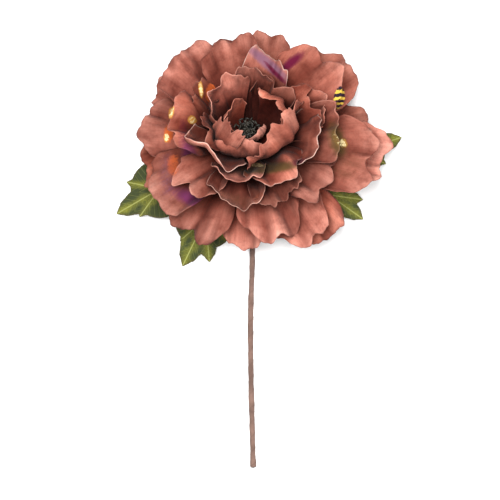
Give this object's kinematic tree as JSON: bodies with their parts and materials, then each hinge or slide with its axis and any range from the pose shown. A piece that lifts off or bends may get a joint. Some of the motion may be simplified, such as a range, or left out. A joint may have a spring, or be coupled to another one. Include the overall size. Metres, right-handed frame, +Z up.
{
  "type": "artificial peony stem",
  "caption": "Artificial peony with ruffled layered cloth petals, dark centre and green lobed leaves, on a short wrapped wire stem, lying on a table.",
  "frame": {"origin": "on the table, under the middle of the whole flower's extent", "axes": "+Z up; +Y from the stem's cut end towards the bloom; +X to the right seen from above with the bloom at the top"},
  "size_m": [0.1651, 0.2571, 0.0846],
  "materials": {
    "petals": "matt woven cloth, dusty terracotta rose",
    "calyx": "moulded, dull green",
    "stamens": "moulded, green-black",
    "stem": "wrapped tape over wire, pinkish brown",
    "leaves": "stiffened cloth, yellow-green with pale veins"
  },
  "bodies": {
    "root": {"petal_layer_1": "petals", "petal_layer_2": "petals", "petal_layer_3": "petals", "petal_layer_4": "petals", "petal_layer_5": "petals", "petal_layer_6": "petals", "petal_layer_7": "petals", "calyx": "calyx", "stamens": "stamens", "stem": "stem", "leaf_1": "leaves", "leaf_2": "leaves", "leaf_3": "leaves", "leaf_4": "leaves"}
  },
  "joints": []
}
